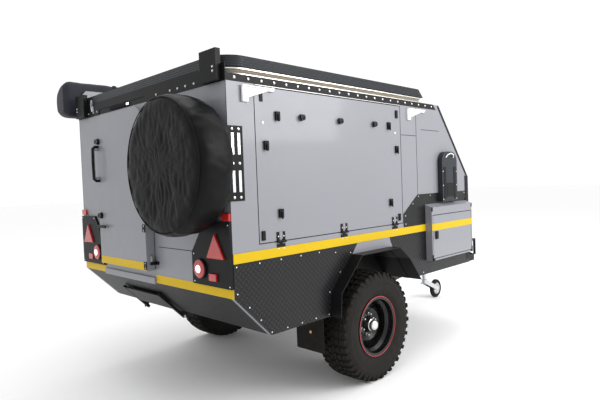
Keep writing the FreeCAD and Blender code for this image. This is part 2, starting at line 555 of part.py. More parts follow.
for side in (0, 1):
    sgn = (-1, 1)[side]
    # the wheel's own frame: y = -132 is the outer side of the tyre on the right wheel
    rim = new_body(("rim_right", "rim_left")[side], S.axle_x, S.wheel_y * sgn, S.tyre_r, (0.0, 180.0)[side])
    revolve(rim, [[(-117.0, S.rim_flange_r), (-111.0, S.rim_flange_r), (-108.0, S.rim_seat_r), (-70.0, 200.0), (-50.0, 180.0), (40.0, 180.0), (70.0, 200.0),
                   (108.0, S.rim_seat_r), (111.0, S.rim_flange_r), (117.0, S.rim_flange_r), (114.0, 196.0), (70.0, 192.0), (40.0, 172.0), (0.0, 172.0),
                   (-12.0, 150.0), (-26.0, 118.0), (-12.0, 88.0), (-12.0, 62.0), (70.0, 62.0), (70.0, S.spindle_r + 0.5), (-50.0, S.spindle_r + 0.5),
                   (-56.0, 40.0), (-20.0, 62.0), (-20.0, 84.0), (-35.0, 118.0), (-22.0, 150.0), (-10.0, 172.0), (-54.0, 172.0), (-74.0, 192.0), (-114.0, 196.0)]])
    # ring of round windows through the disc
    ring = [(140.0 * math.cos(math.radians(22.5 + 45 * k)), 140.0 * math.sin(math.radians(22.5 + 45 * k)), 17.0) for k in range(8)]
    cut(rim, "y", -60.0, 30.0, circles=ring)
    # hub cap closing the outer end
    pad(rim, "y", -84.0, -58.0, circles=[(0.0, 0.0, 38.0)])
    pad(rim, "y", -58.0, -54.0, circles=[(0.0, 0.0, 40.0)])
    tyre = new_body(("tyre_right", "tyre_left")[side], S.axle_x, S.wheel_y * sgn, S.tyre_r, (0.0, 180.0)[side])
    revolve(tyre, [[(-107.5, 204.0), (-110.0, 226.0), (-127.0, 250.0), (0 - S.tyre_half, 300.0), (-129.0, 345.0), (-118.0, 378.0), (-98.0, 393.0), (-50.0, S.tyre_r),
                    (50.0, S.tyre_r), (98.0, 393.0), (118.0, 378.0), (129.0, 345.0), (S.tyre_half, 300.0), (127.0, 250.0), (110.0, 226.0), (107.5, 204.0),
                    (90.0, 206.0), (92.0, 226.0), (110.0, 256.0), (116.0, 300.0), (108.0, 350.0), (80.0, 374.0), (-80.0, 374.0), (-108.0, 350.0), (-116.0, 300.0),
                    (-110.0, 256.0), (-92.0, 226.0), (-90.0, 206.0)]])

flaps = new_body("mud_flaps")
pad(flaps, "x", 797.0, 803.0, [box(lo, hi, 298.0, S.belly + 10) for lo, hi in ((-912.0, -654.0), (654.0, 912.0))])

# ---------------------------------------------------------------- entry step, folded up against the rear slope
step = new_body("entry_step")
q = math.sqrt(0.5)
SX, SZ = 280.7, 529.7


def step_point(t, n):
    """t up the rear slope from the pivot, n away from the slope."""
    return (SX - q * t - q * n, SZ + q * t - q * n)


for y0 in (-6.0, 506.0):
    pad(step, "y", y0, y0 + 26, [[step_point(-14, -10), step_point(270, -10), step_point(270, 10), step_point(-14, 10)]])
    cut(step, "y", y0 - 2, y0 + 28, circles=[(SX, SZ, 5.6)])
pad(step, "y", 20.0, 506.0, [[step_point(90, -4), step_point(262, -4), step_point(262, 8), step_point(90, 8)]])
step_fix = new_body("step_brackets")
for y0 in (-24.0, 540.0):
    pad(step_fix, "y", y0, y0 + 10, [[(SX - 12, SZ - 12), (SX + 14, SZ - 12), (SX + 40, S.belly), (SX - 12, S.belly)]])
pad(step_fix, "y", -14.0, 20.0, circles=[(SX, SZ, 5.0)])
pad(step_fix, "y", 506.0, 540.0, circles=[(SX, SZ, 5.0)])

# ---------------------------------------------------------------- nose tray and gas cylinders
tray = new_body("nose_tray")
pad(tray, "z", 640.0, 646.0, [[(S.nose, -900.0), (3060.0, -900.0), (3140.0, -820.0), (3140.0, 820.0), (3060.0, 900.0), (S.nose, 900.0)]])
pad(tray, "z", 646.0, 700.0, [[(3134.0, -818.0), (3140.0, -820.0), (3140.0, 820.0), (3134.0, 818.0)]])
for sgn in (-1, 1):
    pad(tray, "z", 646.0, 700.0, [[(S.nose, 900.0 * sgn), (3060.0, 900.0 * sgn), (3140.0, 820.0 * sgn), (3134.0, 818.0 * sgn), (3057.5, 894.0 * sgn), (S.nose, 894.0 * sgn)]])
    pad(tray, "z", S.rail_low, 640.0, [[(2800.0, 300.0 * sgn), (2860.0, 285.0 * sgn), (2860.0, 335.0 * sgn), (2800.0, 345.0 * sgn)]])
gas = new_body("gas_cylinders")
for sgn in (-1, 1):
    pad(gas, "z", 646.0, 930.0, circles=[(2950.0, 740.0 * sgn, 122.0)])
    pad(gas, "z", 930.0, 952.0, circles=[(2950.0, 740.0 * sgn, 96.0)])
    pad(gas, "z", 952.0, 1010.0, circles=[(2950.0, 740.0 * sgn, 30.0)])

# ---------------------------------------------------------------- jockey wheel
post = new_body("jockey_post")
pad(post, "z", 262.0, 900.0, circles=[(S.jockey_x, 0.0, 30.0)])
cut(post, "z", 255.0, 330.0, circles=[(S.jockey_x, 0.0, 13.0)])
pad(post, "z", 900.0, 920.0, circles=[(S.jockey_x, 0.0, 34.0)])
pad(post, "z", 920.0, 932.0, [[(S.jockey_x - 12, -12.0), (S.jockey_x + 150, -12.0), (S.jockey_x + 150, 12.0), (S.jockey_x - 12, 12.0)]])
pad(post, "z", 932.0, 990.0, circles=[(S.jockey_x + 138, 0.0, 11.0)])
pad(post, "z", S.rail_low + 8, S.rail_low + 60, circles=[(S.jockey_x, 0.0, 44.0)])

fork = new_body("jockey_fork")
pad(fork, "z", 214.0, 256.0, circles=[(S.jockey_x, 0.0, 36.0)])
pad(fork, "z", 256.0, 322.0, circles=[(S.jockey_x, 0.0, 12.6)])
for lo, hi in both_sides(30.0, 36.0):
    pad(fork, "y", lo, hi, [[(S.jockey_x - 30, 214.0), (S.jockey_x + 30, 214.0 + 28), (S.jockey_axle_x + 18, 128.0), (S.jockey_axle_x + 18, 92.0), (S.jockey_axle_x - 14, 90.0)]])
pad(fork, "z", 206.0, 214.0, [[(S.jockey_x - 36, -36.0), (S.jockey_x + 16, -36.0), (S.jockey_x + 16, 36.0), (S.jockey_x - 36, 36.0)]])
pad(fork, "y", -36.0, 36.0, circles=[(S.jockey_axle_x, S.jockey_r, 8.0)])

jhub = new_body("jockey_hub", S.jockey_axle_x, 0.0, S.jockey_r)
revolve(jhub, [[(-24.0, 8.3), (24.0, 8.3), (24.0, 18.0), (8.0, 22.0), (6.0, 50.0), (20.0, 58.0), (20.0, 66.0), (-20.0, 66.0), (-20.0, 58.0), (-6.0, 50.0), (-8.0, 22.0), (-24.0, 18.0)]])
jtyre = new_body("jockey_tyre", S.jockey_axle_x, 0.0, S.jockey_r)
revolve(jtyre, [[(-20.0, 66.0), (20.0, 66.0), (25.0, 82.0), (22.0, 98.0), (12.0, S.jockey_r), (-12.0, S.jockey_r), (-22.0, 98.0), (-25.0, 82.0)]])

# ---------------------------------------------------------------- check and write
doc.recompute()
bad = [o.Name for o in doc.Objects if "Invalid" in o.State or "Error" in o.State]
if bad:
    raise RuntimeError("objects that did not recompute: " + ", ".join(bad))
for body, before, feat in CUTS:
    if feat.Shape.Volume > before.Shape.Volume - 1.0:
        raise RuntimeError("a pocket in %s removes nothing" % body.Label)
os.makedirs("parts", exist_ok=True)
lows, highs = V(1e9, 1e9, 1e9), V(-1e9, -1e9, -1e9)
wrong = []
for body in NODES:
    shape = body.Shape
    if shape.isNull() or not shape.isValid() or shape.Volume < 1.0:
        wrong.append(body.Label)
        continue
    bb = shape.BoundBox
    lows = V(min(lows.x, bb.XMin), min(lows.y, bb.YMin), min(lows.z, bb.ZMin))
    highs = V(max(highs.x, bb.XMax), max(highs.y, bb.YMax), max(highs.z, bb.ZMax))
    shape.exportStep("parts/%s.step" % body.Label)
    print("%-20s solids %2d  volume %.4f m3  x %.0f..%.0f y %.0f..%.0f z %.0f..%.0f" % (
        body.Label, len(shape.Solids), shape.Volume / 1e9, bb.XMin, bb.XMax, bb.YMin, bb.YMax, bb.ZMin, bb.ZMax))
print("box", lows, highs, "nodes", len(NODES))
if wrong:
    raise RuntimeError("bad shapes: " + ", ".join(wrong))
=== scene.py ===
import bpy, bmesh, json, math
from mathutils import Matrix, Vector, noise


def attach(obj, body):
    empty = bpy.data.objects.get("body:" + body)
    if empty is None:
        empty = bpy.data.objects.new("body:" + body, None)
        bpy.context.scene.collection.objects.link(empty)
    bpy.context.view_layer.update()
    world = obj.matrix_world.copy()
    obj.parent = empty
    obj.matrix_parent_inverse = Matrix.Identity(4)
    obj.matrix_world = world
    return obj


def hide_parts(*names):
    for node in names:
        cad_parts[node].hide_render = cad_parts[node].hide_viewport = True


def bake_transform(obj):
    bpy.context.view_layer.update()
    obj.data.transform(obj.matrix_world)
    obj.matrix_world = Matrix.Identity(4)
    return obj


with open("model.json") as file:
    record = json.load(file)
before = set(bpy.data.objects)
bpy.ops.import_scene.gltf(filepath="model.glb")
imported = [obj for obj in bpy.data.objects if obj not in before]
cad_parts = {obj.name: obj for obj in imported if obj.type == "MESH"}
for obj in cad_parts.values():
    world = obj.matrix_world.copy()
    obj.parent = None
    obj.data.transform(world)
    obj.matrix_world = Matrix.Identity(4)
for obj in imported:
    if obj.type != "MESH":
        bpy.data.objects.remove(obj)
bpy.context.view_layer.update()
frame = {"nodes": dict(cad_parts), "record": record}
SX, SY = 1973.0, 37.5
NODES, PI = frame["nodes"], math.pi


def D(x, y, z):
    return Vector(((x - SX) / 1000.0, (y - SY) / 1000.0, z / 1000.0))


# ------------------------------------------------------------------ materials
def base_mat(name, color, rough=0.5, metal=0.0, vary=0.06, vscale=3.0, bump=0.0, bscale=200.0, coat=0.0, spec=0.5,
             sheen=0.0, rough_vary=0.08, emit=None, dust=0.0, alpha=1.0, trans=0.0):
    m = bpy.data.materials.new(name)
    m.use_nodes = True
    nt = m.node_tree
    N, L = nt.nodes, nt.links
    bs = N["Principled BSDF"]
    bs.inputs["Metallic"].default_value = metal
    bs.inputs["Coat Weight"].default_value = coat
    bs.inputs["Coat Roughness"].default_value = 0.08
    bs.inputs["Specular IOR Level"].default_value = spec
    bs.inputs["Sheen Weight"].default_value = sheen
    bs.inputs["Transmission Weight"].default_value = trans
    tc = N.new("ShaderNodeTexCoord")
    n1 = N.new("ShaderNodeTexNoise"); n1.inputs["Scale"].default_value = vscale; n1.inputs["Detail"].default_value = 6.0
    L.new(tc.outputs["Object"], n1.inputs["Vector"])
    ramp = N.new("ShaderNodeMix"); ramp.data_type = "RGBA"
    c = Vector(color)
    lo = [max(0, v * (1 - vary)) for v in c] + [1]
    hi = [min(1, v * (1 + vary) + 0.002) for v in c] + [1]
    if dust:
        hi = [min(1, v + dust) for v in c] + [1]
    ramp.inputs[6].default_value, ramp.inputs[7].default_value = lo, hi
    L.new(n1.outputs["Fac"], ramp.inputs[0])
    L.new(ramp.outputs[2], bs.inputs["Base Color"])
    mr = N.new("ShaderNodeMapRange")
    mr.inputs["To Min"].default_value = max(0.02, rough - rough_vary)
    mr.inputs["To Max"].default_value = min(1.0, rough + rough_vary)
    n2 = N.new("ShaderNodeTexNoise"); n2.inputs["Scale"].default_value = vscale * 9; n2.inputs["Detail"].default_value = 4.0
    L.new(tc.outputs["Object"], n2.inputs["Vector"])
    L.new(n2.outputs["Fac"], mr.inputs["Value"]); L.new(mr.outputs["Result"], bs.inputs["Roughness"])
    m["out"] = 0
    if bump:
        n3 = N.new("ShaderNodeTexNoise"); n3.inputs["Scale"].default_value = bscale; n3.inputs["Detail"].default_value = 3.0
        L.new(tc.outputs["Object"], n3.inputs["Vector"])
        b = N.new("ShaderNodeBump"); b.inputs["Strength"].default_value = bump; b.inputs["Distance"].default_value = 0.001
        L.new(n3.outputs["Fac"], b.inputs["Height"]); L.new(b.outputs["Normal"], bs.inputs["Normal"])
    if emit:
        bs.inputs["Emission Color"].default_value = (*emit[:3], 1); bs.inputs["Emission Strength"].default_value = emit[3]
    if alpha < 1:
        bs.inputs["Alpha"].default_value = alpha
    return m


def math_node(nt, op, a, b=None):
    n = nt.nodes.new("ShaderNodeMath"); n.operation = op
    for i, v in enumerate((a, b)):
        if v is None:
            continue
        if isinstance(v, (int, float)):
            n.inputs[i].default_value = v
        else:
            nt.links.new(v, n.inputs[i])
    return n.outputs[0]


def tread_plate(name, color, ax=("X", "Z"), pitch=0.036):
    """Chequered plate: short raised bars, each turned across its neighbour."""
    m = base_mat(name, color, rough=0.34, metal=0.0, vary=0.25, vscale=4, spec=0.22)
    nt = m.node_tree; L = nt.links; bs = nt.nodes["Principled BSDF"]
    tc = nt.nodes.new("ShaderNodeTexCoord"); sp = nt.nodes.new("ShaderNodeSeparateXYZ")
    L.new(tc.outputs["Object"], sp.inputs[0])
    x, z = sp.outputs[ax[0]], sp.outputs[ax[1]]
    u = math_node(nt, "DIVIDE", math_node(nt, "ADD", x, z), pitch)
    v = math_node(nt, "DIVIDE", math_node(nt, "SUBTRACT", x, z), pitch)
    par = math_node(nt, "PINGPONG", math_node(nt, "ADD", math_node(nt, "FLOOR", u), math_node(nt, "FLOOR", v)), 1.0)
    fu = math_node(nt, "SUBTRACT", math_node(nt, "FRACT", u), 0.5)
    fv = math_node(nt, "SUBTRACT", math_node(nt, "FRACT", v), 0.5)

    def ell(a, b):
        p = math_node(nt, "POWER", math_node(nt, "ABSOLUTE", math_node(nt, "MULTIPLY", a, 2.15)), 2.0)
        q = math_node(nt, "POWER", math_node(nt, "ABSOLUTE", math_node(nt, "MULTIPLY", b, 6.5)), 2.0)
        return math_node(nt, "ADD", p, q)
    e1, e2 = ell(fu, fv), ell(fv, fu)
    mix = math_node(nt, "ADD", math_node(nt, "MULTIPLY", e1, par), math_node(nt, "MULTIPLY", e2, math_node(nt, "SUBTRACT", 1.0, par)))
    h = nt.nodes.new("ShaderNodeMapRange"); h.interpolation_type = "SMOOTHSTEP"
    h.inputs["From Min"].default_value = 1.15; h.inputs["From Max"].default_value = 0.55
    L.new(mix, h.inputs["Value"])
    b = nt.nodes.new("ShaderNodeBump"); b.inputs["Strength"].default_value = 1.0; b.inputs["Distance"].default_value = 0.0022
    L.new(h.outputs["Result"], b.inputs["Height"]); L.new(b.outputs["Normal"], bs.inputs["Normal"])
    # painted highlight: the raised bars are mixed towards a lighter grey (0.022) than the plate, standing in for light
    # caught on the bar tops
    bar_highlight_mix = nt.nodes.new("ShaderNodeMix"); bar_highlight_mix.data_type = "RGBA"
    src = bs.inputs["Base Color"].links[0].from_socket
    L.new(h.outputs["Result"], bar_highlight_mix.inputs[0]); L.new(src, bar_highlight_mix.inputs[6])
    bar_highlight_mix.inputs[7].default_value = (0.022, 0.022, 0.024, 1)
    L.new(bar_highlight_mix.outputs[2], bs.inputs["Base Color"])
    return m


def add_waves(m, axis_scale, direction="Z", strength=0.4, dist=0.002, profile="SIN"):
    nt = m.node_tree; L = nt.links; bs = nt.nodes["Principled BSDF"]
    tc = nt.nodes.new("ShaderNodeTexCoord"); w = nt.nodes.new("ShaderNodeTexWave")
    w.wave_type = "BANDS"; w.bands_direction = direction; w.wave_profile = profile
    w.inputs["Scale"].default_value = axis_scale; w.inputs["Distortion"].default_value = 0.0
    L.new(tc.outputs["Object"], w.inputs["Vector"])
    b = nt.nodes.new("ShaderNodeBump"); b.inputs["Strength"].default_value = strength; b.inputs["Distance"].default_value = dist
    L.new(w.outputs["Fac"], b.inputs["Height"])
    if bs.inputs["Normal"].links:
        L.new(bs.inputs["Normal"].links[0].from_socket, b.inputs["Normal"])
    L.new(b.outputs["Normal"], bs.inputs["Normal"])
    return m


M = {}
M["body_panel"] = base_mat("body_paint", (0.200, 0.204, 0.226), rough=0.45, metal=0.05, vary=0.04, vscale=1.3, bump=0.08, bscale=420, coat=0.25)
M["black_steel"] = base_mat("black_powder_coat", (0.0045, 0.0045, 0.0052), rough=0.42, vary=0.3, vscale=6, bump=0.25, bscale=900, spec=0.14)
M["tread_plate"] = tread_plate("chequer_plate_black", (0.0055, 0.0055, 0.0062))
M["tread_flat"] = tread_plate("chequer_plate_flat", (0.0055, 0.0055, 0.0062), ("X", "Y"))
M["lid_skin"] = add_waves(base_mat("lid_slate", (0.013, 0.016, 0.020), rough=0.4, vary=0.15, vscale=5, bump=0.2, bscale=600, spec=0.25), 22, "Z", 0.5, 0.003)
M["canvas"] = add_waves(base_mat("canvas_beige", (0.42, 0.37, 0.28), rough=0.85, vary=0.15, vscale=12, bump=0.5, bscale=900, sheen=0.2), 260, "Z", 0.3, 0.0006)
M["bag_fabric"] = add_waves(add_waves(base_mat("bag_fabric", (0.014, 0.0155, 0.023), rough=0.6, vary=0.28, vscale=7, bump=0.5, bscale=240, sheen=0.08, spec=0.2), 420, "X", 0.2, 0.0005), 420, "Z", 0.2, 0.0005)
M["cover_vinyl"] = base_mat("cover_vinyl", (0.0016, 0.0016, 0.002), rough=0.40, vary=0.3, vscale=6, bump=0.4, bscale=340, coat=0.0, spec=0.10)
M["glass"] = base_mat("tinted_glass", (0.05, 0.06, 0.065), rough=0.05, rough_vary=0.02, vary=0.05, spec=0.6, trans=0.6)
M["white_paint"] = base_mat("white_paint", (0.72, 0.72, 0.74), rough=0.4, vary=0.03, bump=0.1, bscale=600)
M["zinc"] = base_mat("zinc_plate", (0.55, 0.56, 0.58), rough=0.32, metal=0.95, vary=0.12, vscale=30, bump=0.1, bscale=500)
M["alloy"] = base_mat("bare_aluminium", (0.7, 0.69, 0.66), rough=0.3, metal=1.0, vary=0.06, vscale=20, bump=0.1, bscale=700)
M["tyre_rubber"] = base_mat("tyre_rubber", (0.0085, 0.0075, 0.0062), rough=0.72, vary=0.4, vscale=18, bump=0.6, bscale=420, dust=0.007, spec=0.15)
M["rim_black"] = base_mat("rim_gloss_black", (0.004, 0.004, 0.0045), rough=0.25, vary=0.2, vscale=8, bump=0.08, bscale=500, coat=0.12, spec=0.25)
M["lamp_red"] = add_waves(base_mat("red_lens", (0.42, 0.012, 0.012), rough=0.15, vary=0.1, vscale=30, coat=0.6), 130, "Y", 0.35, 0.0012)
M["gas_green"] = base_mat("gas_green", (0.01, 0.16, 0.10), rough=0.35, vary=0.15, vscale=9, bump=0.2, bscale=300, coat=0.2)
M["heater_grey"] = base_mat("heater_slate", (0.015, 0.0185, 0.023), rough=0.42, vary=0.12, vscale=9, bump=0.3, bscale=800, spec=0.25)
M["yellow"] = base_mat("reflective_yellow", (0.54, 0.36, 0.0), rough=0.4, vary=0.05, vscale=14, bump=0.25, bscale=1500, coat=0.05, spec=0.15)
M["seam"] = base_mat("seam_dark", (0.012, 0.012, 0.013), rough=0.8, vary=0.2, spec=0.1)
M["red_line"] = base_mat("red_line", (0.5, 0.01, 0.015), rough=0.3, vary=0.1, coat=0.3)
M["led"] = base_mat("led_white", (0.9, 0.92, 0.95), rough=0.2, vary=0.03, emit=(1, 1, 1, 1.5))
M["blue"] = base_mat("valve_blue", (0.01, 0.06, 0.35), rough=0.35, vary=0.1)
M["brass"] = base_mat("brass", (0.65, 0.42, 0.15), rough=0.3, metal=1.0, vary=0.1, vscale=30)

SLOT = {p["node"]: p["material_slot"] for p in frame["record"]["subparts"]}
for node, ob in NODES.items():
    mat = M.get(SLOT[node], M["black_steel"])
    if node == "drawbar_plate":
        mat = M["tread_flat"]
    if not ob.material_slots:
        ob.data.materials.append(mat)
    for s in ob.material_slots:
        s.material = mat


# ------------------------------------------------------------------ mesh helpers
def obj_from(name, verts, faces, mat, body, bevel=0.0, smooth=True, replaces=()):
    me = bpy.data.meshes.new(name)
    me.from_pydata([tuple(v) for v in verts], [], faces)
    bm = bmesh.new(); bm.from_mesh(me)
    bmesh.ops.recalc_face_normals(bm, faces=bm.faces)
    bm.to_mesh(me); bm.free()
    ob = bpy.data.objects.new(name, me)
    bpy.context.scene.collection.objects.link(ob)
    me.materials.append(M[mat])
    if bevel:
        b = ob.modifiers.new("bevel", "BEVEL"); b.width = bevel; b.segments = 2; b.limit_method = "ANGLE"; b.angle_limit = 0.6
    if smooth:
        for p in me.polygons:
            p.use_smooth = True
        if hasattr(me, "set_sharp_from_angle"):
            me.set_sharp_from_angle(angle=0.7)
    if body:
        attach(ob, body)
    if replaces:
        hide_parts(*replaces)
    return ob


def add_box(V, F, x0, x1, y0, y1, z0, z1):
    i = len(V)
    for z in (z0, z1):
        for x, y in ((x0, y0), (x1, y0), (x1, y1), (x0, y1)):
            V.append(D(x, y, z))
    F += [(i, i + 1, i + 2, i + 3), (i + 4, i + 5, i + 6, i + 7), (i, i + 1, i + 5, i + 4), (i + 1, i + 2, i + 6, i + 5), (i + 2, i + 3, i + 7, i + 6), (i + 3, i, i + 4, i + 7)]


def boxes(name, items, mat, body, bevel=0.0012):
    V, F = [], []
    for it in items:
        add_box(V, F, *it)
    return obj_from(name, V, F, mat, body, bevel)


def prism(name, polys, mat, body, bevel=0.0012):
    """polys: list of (axis, lo, hi, [(u, v)...]) in datum mm."""
    V, F = [], []
    for axis, lo, hi, pts in polys:
        i, n = len(V), len(pts)
        for w in (lo, hi):
            for u, v in pts:
                V.append(D(w, u, v) if axis == "x" else D(u, w, v) if axis == "y" else D(u, v, w))
        F.append(tuple(range(i, i + n))); F.append(tuple(range(i + n, i + 2 * n)))
        for k in range(n):
            F.append((i + k, i + (k + 1) % n, i + n + (k + 1) % n, i + n + k))
    return obj_from(name, V, F, mat, body, bevel)


def frame_of(d):
    d = Vector(d).normalized()
    a = Vector((0, 0, 1)) if abs(d.z) < 0.9 else Vector((1, 0, 0))
    u = d.cross(a).normalized()
    return d, u, d.cross(u).normalized()


def lathe_many(name, items, prof, mat, body, seg=12, bevel=0.0):
    """The same turned profile (along mm, radius mm) set at many places (point, direction)."""
    V, F = [], []
    for p, d in items:
        p = D(*p); d, u, w = frame_of(d)
        i = len(V)
        for a, r in prof:
            for k in range(seg):
                t = 2 * PI * k / seg
                V.append(p + d * (a / 1000) + (u * math.cos(t) + w * math.sin(t)) * (r / 1000))
        m = len(prof)
        for j in range(m - 1):
            for k in range(seg):
                F.append((i + j * seg + k, i + j * seg + (k + 1) % seg, i + (j + 1) * seg + (k + 1) % seg, i + (j + 1) * seg + k))
        F.append(tuple(i + k for k in range(seg)))
        F.append(tuple(i + (m - 1) * seg + k for k in range(seg)))
    return obj_from(name, V, F, mat, body, bevel)


def tube(name, pts, r, mat, body, cyclic=False, res=6):
    cu = bpy.data.curves.new(name, "CURVE"); cu.dimensions = "3D"; cu.bevel_depth = r / 1000; cu.bevel_resolution = 3; cu.resolution_u = res
    sp = cu.splines.new("POLY"); sp.points.add(len(pts) - 1)
    for q, p in zip(sp.points, pts):
        q.co = (*D(*p), 1)
    sp.use_cyclic_u = cyclic
    cu.use_fill_caps = True
    cu.materials.append(M[mat])
    ob = bpy.data.objects.new(name, cu); bpy.context.scene.collection.objects.link(ob)
    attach(ob, body)
    return ob


BOLT = [(0, 7.5), (1.2, 7.5), (1.4, 6.0), (4.2, 5.6), (5.4, 3.5)]
RIVET = [(0, 5.0), (1.2, 4.6), (2.2, 3.0)]

# ------------------------------------------------------------------ stripes
Y0 = 989.0
for sgn, side in ((-1, "right"), (1, "left")):
    a, b = sorted((sgn * 992.2, sgn * 993.6))
    a2, b2 = sorted((sgn * 989.0, sgn * 993.2))
    boxes("stripe_" + side, [(1.0, 345.0, a2, b2, 1030, 1086), (345.0, 2013.5, a2, b2, 1030, 1086)], "yellow", "root", 0.0004)
    a, b = sorted((sgn * 1052.0, sgn * 1053.0))
    boxes("stripe_locker_frame_" + side, [(2014.5, 2033, a, b, 1030, 1086), (2701, 2719.5, a, b, 1030, 1086)], "yellow", "root", 0.0003)
    boxes("stripe_locker_door_" + side, [(2034.5, 2699.5, a, b, 1030, 1086)], "yellow", "locker_door_" + side, 0.0003)
boxes("stripe_rear", [(-1.4, 0, -988, -146, 834, 889), (-1.4, 0, 612, 988, 834, 889)], "yellow", "root", 0.0004)
boxes("stripe_door", [(-66.2, -65, -141, 544, 924, 977)], "yellow", "rear_door", 0.0004)

# ------------------------------------------------------------------ bolts, rivets and seams
items = []
for sgn in (-1, 1):
    for k in range(22):
        items.append(((60 + k * 100, sgn * 989, 2070), (0, sgn, 0)))
for y in (-256, -425, -513, -600, -690, -788, -866, -931, 256 + 380, 700, 788, 866, 931):
    items.append(((-4, y, 2074), (-1, 0, 0)))
for sgn in (-1, 1):
    for z in (2103, 2126):
        items.append(((-38, sgn * 925, z), (-1, 0, 0)))
lathe_many("flange_bolts", items, BOLT, "alloy", "root", 10)
items = []
for sgn in (-1, 1):
    line = [(20, 1012), (20, 860), (265, 590), (520, 590), (775, 590), (790, 735), (1020, 970), (700, 1012), (360, 1012)]
    for (x0, z0), (x1, z1) in zip(line, line[1:] + line[:1]):
        n = max(1, int(math.hypot(x1 - x0, z1 - z0) / 120))
        for k in range(n):
            items.append(((x0 + (x1 - x0) * k / n, sgn * 992, z0 + (z1 - z0) * k / n), (0, sgn, 0)))
    for x, z in ((1720, 1110), (1720, 1175), (1830, 1265), (1915, 1322), (2100, 1322), (2300, 1322), (2500, 1322), (2700, 1322), (1640, 880), (1700, 800), (1790, 690), (1960, 690)):
        items.append(((x, sgn * 992, z), (0, sgn, 0)))
lathe_many("skirt_rivets", items, RIVET, "alloy", "root", 8)
seams = []
for sgn in (-1, 1):
    a, b = sorted((sgn * 989, sgn * 989.8))
    seams += [(1910, 1914, a, b, 1340, 2046), (1696, 1909, a, b, 1813, 1817), (1985, 2276, a, b, 1867, 1871)]
seams += [(-0.8, 0, -986, -984, 890, 2046), (-0.8, 0, 984, 986, 890, 2046), (-0.8, 0, -600, -190, 1077, 1081), (-0.8, 0, 600, 604, 890, 2046)]
boxes("panel_seams", seams, "seam", "root", 0.0)
for side, sgn in (("right", -1), ("left", 1)):
    a, b = sorted((sgn * 989, sgn * 990.5))
    boxes("hatch_shadow_line_" + side, [(194, 199.6, *sorted((sgn * 985, sgn * 989.3)), 1119, 2041), (1682.4, 1688, *sorted((sgn * 985, sgn * 989.3)), 1119, 2041),
                                        (194, 1688, *sorted((sgn * 985, sgn * 989.3)), 2035.4, 2041)], "seam", "root", 0.0)
    tube("gutter_" + side, [(206, sgn * 992, 2043), (1680, sgn * 992, 2043)], 2.5, "alloy", "root")

# door seal and shading line
ring = [(-5.5, -0.5, -139, 542, 925, 929), (-5.5, -0.5, -139, 542, 2012, 2016), (-5.5, -0.5, -139, -134, 925, 2016), (-5.5, -0.5, 537, 542, 925, 2016)]
boxes("door_seal", ring, "seam", "root", 0.0008)
boxes("door_lamp_strip", [(-9, 0, 118, 412, 2056, 2080)], "seam", "root", 0.002)
boxes("door_lamp_glow", [(-10, -8, 112, 150, 2060, 2076)], "led", "root", 0.001)

